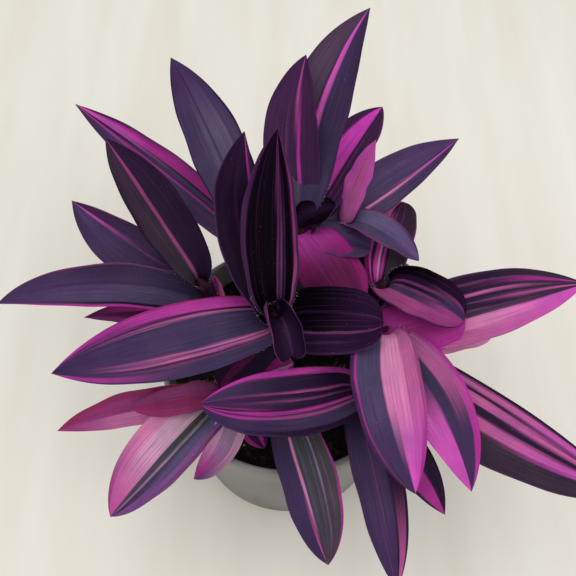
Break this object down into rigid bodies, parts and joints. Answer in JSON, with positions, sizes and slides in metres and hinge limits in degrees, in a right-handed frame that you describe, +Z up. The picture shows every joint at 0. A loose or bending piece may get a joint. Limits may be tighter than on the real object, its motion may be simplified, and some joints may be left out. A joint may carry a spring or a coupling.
{
  "type": "potted trailing house plant",
  "caption": "Potted tradescantia: upright and arching shoots with long pointed purple and pink striped leaves, in a tapered round plastic pot.",
  "frame": {"origin": "middle of the pot's underside, on the surface that it stands on", "axes": "+Z up along the pot's axis, -Y towards the front, where the picture was taken from, +X to its right"},
  "size_m": [0.2798, 0.2273, 0.2099],
  "materials": {
    "pot": "matt",
    "soil": "loose moist potting mix",
    "leaf": "satin, striped dark purple and pink"
  },
  "bodies": {
    "root": {"pot": "pot", "soil": "soil", "shoot_centre": "leaf", "shoot_left": "leaf", "shoot_back_left": "leaf", "shoot_back": "leaf", "shoot_back_right": "leaf", "shoot_right": "leaf", "shoot_front_right": "leaf", "shoot_front_left": "leaf", "shoot_front": "leaf"}
  },
  "joints": []
}
